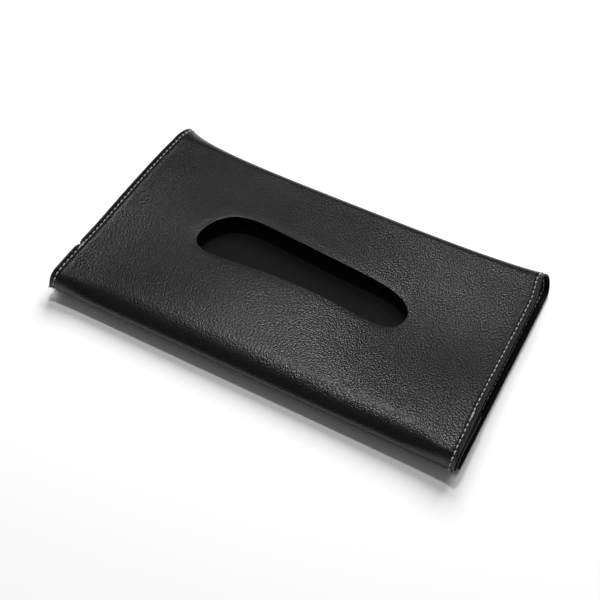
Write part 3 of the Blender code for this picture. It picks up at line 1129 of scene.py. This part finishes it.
def boxRows(low, high, z, facing, crossed):
    # stitches round a rectangle on a face at height z, crossed where it holds a band
    x0, x1, y0, y1 = low[0], high[0], low[1], high[1]
    normal = (0, 0, facing)
    corners = [(x0, y0, z), (x1, y0, z), (x1, y1, z), (x0, y1, z)]
    rows = [straightRow(a, b, normal) for a, b in zip(corners, corners[1:] + corners[:1])]
    if crossed:
        rows += [straightRow(corners[0], corners[2], normal), straightRow(corners[1], corners[3], normal)]
    return rows


def addBandHalf(side, half, low, high):
    # low and high are the whole band's corners
    sewnEnd = -1 if half == "Front" else 1
    middleY = (low[1] + high[1]) / 2
    if half == "Front":
        y0, y1 = low[1], middleY
    else:
        y0, y1 = middleY, high[1]
    name = "band" + side.capitalize() + half
    piece = stripMesh(name, (low[0], y0, low[2]), (high[0], y1, high[2] + bandShape["proud"] * mm),
                      elastic, sewnEnd)
    if half == "Front":
        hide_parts("visor_band_" + side)
    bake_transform(piece)

    margin, box, endMargin = (bandSewing[key] * mm for key in ("margin", "box", "endMargin"))
    boxLow = y0 + endMargin if sewnEnd < 0 else y1 - box
    boxHigh = y0 + box if sewnEnd < 0 else y1 - endMargin
    rows = boxRows((low[0] + margin, boxLow), (high[0] - margin, boxHigh),
                   low[2] + bandSewing["pressed"] * mm, -1, True)
    sewn = joinRows(name + "Stitches", rows, darkThread)
    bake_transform(sewn)


def addTape(kind, side, material, body):
    node = "closure_%s_%s" % (kind, side)
    low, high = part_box(node)
    piece = stripMesh(kind + "Tape" + side.capitalize(), low, high, material)
    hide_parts(node)
    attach(piece, body)

    margin = tapeSewing["margin"] * mm
    z, facing = (low[2], -1) if kind == "hook" else (high[2], 1)
    corners = (low[0] + margin, low[1] + margin), (high[0] - margin, high[1] - margin)
    rows = boxRows(*corners, z, facing, False)
    sewn = joinRows(kind + "Stitches" + side.capitalize(), rows, darkThread)
    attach(sewn, body)


print("making the bands and the tapes")
for side in ("left", "right"):
    low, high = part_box("visor_band_" + side)
    addBandHalf(side, "Front", low, high)
    addBandHalf(side, "Rear", low, high)
    addTape("hook", side, hookTape, "sleeve")
    addTape("loop", side, loopTape, "rear_flap")


# the stage: pale floor, soft light from above and behind, and the photograph's camera

stage = {
    "floorSize": 6.0,           # in metres, as is the shadow's reach
    "floorColour": 0.80,
    "cameraWhite": 1.30,
    "shadowReach": (0.24, 0.46),    # beyond this the floor is plain white
    "worldTop": 0.09,           # the dim studio overhead, as reflections see it
    "worldFill": 0.11,          # and as light that falls on the object
    "backdropTop": 0.12,        # how high the white backdrop is in reflections: the sine of its angle
    "backdropFade": 0.06,
}

cameraPlace = {
    "lens": 61.86,
    "sensor": 36,
    "azimuth": 28.565,          # in degrees
    "elevation": 51.54,
    "distance": 552.15,
    "target": (2.717, -7.776, 0.0),
}

lamps = [
    # name, place in metres, aimed at, size in metres, power in watts, seen in reflections
    ("topSoftbox", (-0.222, 0.475, 1.298), (0, 0, 0), (0.12, 0.12), 4.6, True),
    ("rearSoftbox", (-0.17, 1.21, 1.03), (0, 0, 0), (1.1, 0.8), 24.0, False),
]


def reflectedRays(tree, path):
    return mathNode(tree, "MAXIMUM", path.outputs["Is Glossy Ray"], path.outputs["Is Transmission Ray"])


def addFloor():
    floorMesh = bpy.data.meshes.new("floor")
    half = stage["floorSize"] / 2
    corners = [(-half, -half, 0), (half, -half, 0), (half, half, 0), (-half, half, 0)]
    floorMesh.from_pydata(corners, [], [(0, 1, 2, 3)])
    floor = bpy.data.objects.new("floor", floorMesh)
    bpy.context.collection.objects.link(floor)
    material = bpy.data.materials.new("paleFloor")
    material.use_nodes = True
    tree = material.node_tree
    tree.nodes.clear()
    output = tree.nodes.new("ShaderNodeOutputMaterial")
    diffuse = tree.nodes.new("ShaderNodeBsdfDiffuse")
    path = tree.nodes.new("ShaderNodeLightPath")
    seen = mathNode(tree, "MAXIMUM", path.outputs["Is Camera Ray"], reflectedRays(tree, path))
    pale = (stage["floorColour"],) * 3
    white = (stage["cameraWhite"],) * 3
    link(tree, mixColour(tree, seen, pale, white), diffuse.inputs["Color"])
    place = tree.nodes.new("ShaderNodeTexCoord")
    length = tree.nodes.new("ShaderNodeVectorMath")
    length.operation = "LENGTH"
    link(tree, place.outputs["Object"], length.inputs[0])
    far = mapRange(tree, length.outputs["Value"], *stage["shadowReach"], 0.0, 1.0)
    plain = tree.nodes.new("ShaderNodeEmission")
    mix = tree.nodes.new("ShaderNodeMixShader")
    link(tree, mathNode(tree, "MULTIPLY", far, seen), mix.inputs["Fac"])
    link(tree, diffuse.outputs["BSDF"], mix.inputs[1])
    link(tree, plain.outputs["Emission"], mix.inputs[2])
    link(tree, mix.outputs["Shader"], output.inputs["Surface"])
    floorMesh.materials.append(material)


def addWorld():
    world = bpy.data.worlds.new("studio")
    bpy.context.scene.world = world
    world.use_nodes = True
    tree = world.node_tree
    tree.nodes.clear()
    output = tree.nodes.new("ShaderNodeOutputWorld")
    background = tree.nodes.new("ShaderNodeBackground")
    path = tree.nodes.new("ShaderNodeLightPath")
    place = tree.nodes.new("ShaderNodeTexCoord")
    split = tree.nodes.new("ShaderNodeSeparateXYZ")
    link(tree, place.outputs["Generated"], split.inputs["Vector"])
    top = stage["backdropTop"]
    backdrop = mapRange(tree, split.outputs["Z"], top, top + stage["backdropFade"], 1.0, stage["worldTop"])
    fill = mathNode(tree, "MULTIPLY", path.outputs["Is Diffuse Ray"], stage["worldFill"])
    reflected = mathNode(tree, "MULTIPLY", reflectedRays(tree, path), backdrop)
    seen = mathNode(tree, "MAXIMUM", reflected, path.outputs["Is Camera Ray"])
    link(tree, mathNode(tree, "MAXIMUM", seen, fill), background.inputs["Strength"])
    background.inputs["Color"].default_value = (1, 1, 1, 1)
    link(tree, background.outputs["Background"], output.inputs["Surface"])


def addLamps():
    for name, place, aim, size, power, reflected in lamps:
        data = bpy.data.lights.new(name, "AREA")
        data.shape = "RECTANGLE"
        data.size, data.size_y = size
        data.energy = power
        lamp = bpy.data.objects.new(name, data)
        lamp.location = place
        lamp.rotation_euler = (Vector(aim) - Vector(place)).to_track_quat("-Z", "Y").to_euler()
        lamp.visible_glossy = reflected
        bpy.context.collection.objects.link(lamp)


def addCamera():
    data = bpy.data.cameras.new("camera")
    data.lens = cameraPlace["lens"]
    data.sensor_width = cameraPlace["sensor"]
    camera = bpy.data.objects.new("camera", data)
    azimuth, elevation = (math.radians(cameraPlace[key]) for key in ("azimuth", "elevation"))
    level = math.cos(elevation)
    back = Vector((math.sin(azimuth) * level, -math.cos(azimuth) * level, math.sin(elevation)))
    target = Vector(cameraPlace["target"]) * mm
    camera.location = target + back * cameraPlace["distance"] * mm
    camera.rotation_euler = (-back).to_track_quat("-Z", "Y").to_euler()
    bpy.context.collection.objects.link(camera)
    bpy.context.scene.camera = camera


print("lighting the stage")
addFloor()
addWorld()
addLamps()
addCamera()
bpy.context.scene.view_settings.view_transform = "Standard"
